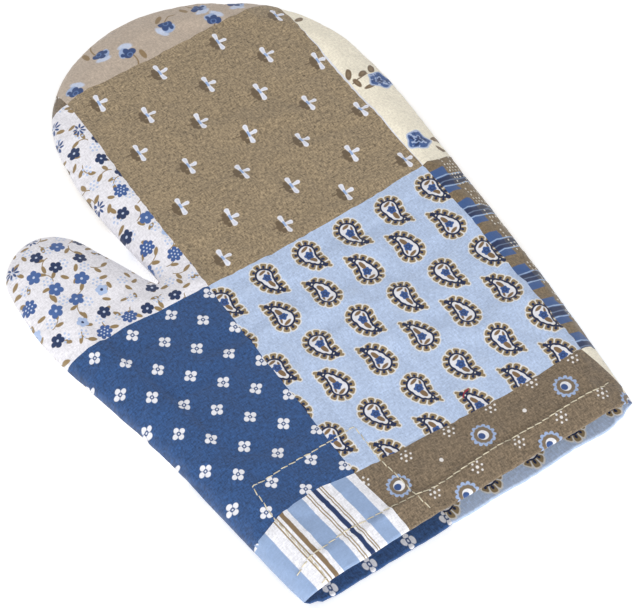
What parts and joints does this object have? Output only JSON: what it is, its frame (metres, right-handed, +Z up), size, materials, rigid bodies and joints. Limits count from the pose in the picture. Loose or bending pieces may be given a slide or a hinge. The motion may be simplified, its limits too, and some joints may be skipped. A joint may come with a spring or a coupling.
{
  "type": "oven mitt",
  "caption": "Flat quilted cotton oven mitt with a rounded finger end, a side thumb and an open hemmed cuff; fingers and thumb fold towards the front.",
  "frame": {"origin": "middle of the mitt's outline, on the floor plane that its back panel lies on", "axes": "+Z up out of the front panel, +Y towards the fingertips, -Y out of the cuff mouth, -X towards the thumb"},
  "size_m": [0.1958, 0.2814, 0.0162],
  "materials": {
    "printed_cotton": "matte",
    "cotton_wadding": "matte",
    "lining_cotton": "matte",
    "sewing_thread": "satin"
  },
  "bodies": {
    "palm": {"front_outer_palm": "printed_cotton", "front_wadding_palm": "cotton_wadding", "front_lining_palm": "lining_cotton", "back_outer_palm": "printed_cotton", "back_wadding_palm": "cotton_wadding", "back_lining_palm": "lining_cotton", "seam_thread_palm": "sewing_thread", "front_hem_stitching": "sewing_thread", "back_hem_stitching": "sewing_thread", "patch_stitching": "sewing_thread", "cuff_patch": "lining_cotton"},
    "fingers": {"front_outer_fingers": "printed_cotton", "front_wadding_fingers": "cotton_wadding", "front_lining_fingers": "lining_cotton", "back_outer_fingers": "printed_cotton", "back_wadding_fingers": "cotton_wadding", "back_lining_fingers": "lining_cotton", "seam_thread_fingers": "sewing_thread"},
    "thumb": {"front_outer_thumb": "printed_cotton", "front_wadding_thumb": "cotton_wadding", "front_lining_thumb": "lining_cotton", "back_outer_thumb": "printed_cotton", "back_wadding_thumb": "cotton_wadding", "back_lining_thumb": "lining_cotton", "seam_thread_thumb": "sewing_thread"}
  },
  "joints": [
    {"name": "finger_fold", "type": "hinge", "parent": "palm", "child": "fingers", "pos_m": [0.025, 0.057, 0.016], "axis": [1, 0, 0], "range_deg": [0, 75]},
    {"name": "thumb_fold", "type": "hinge", "parent": "palm", "child": "thumb", "pos_m": [-0.0533, 0.0201, 0.016], "axis": [0.6, 0.8, 0], "range_deg": [0, 50]}
  ]
}
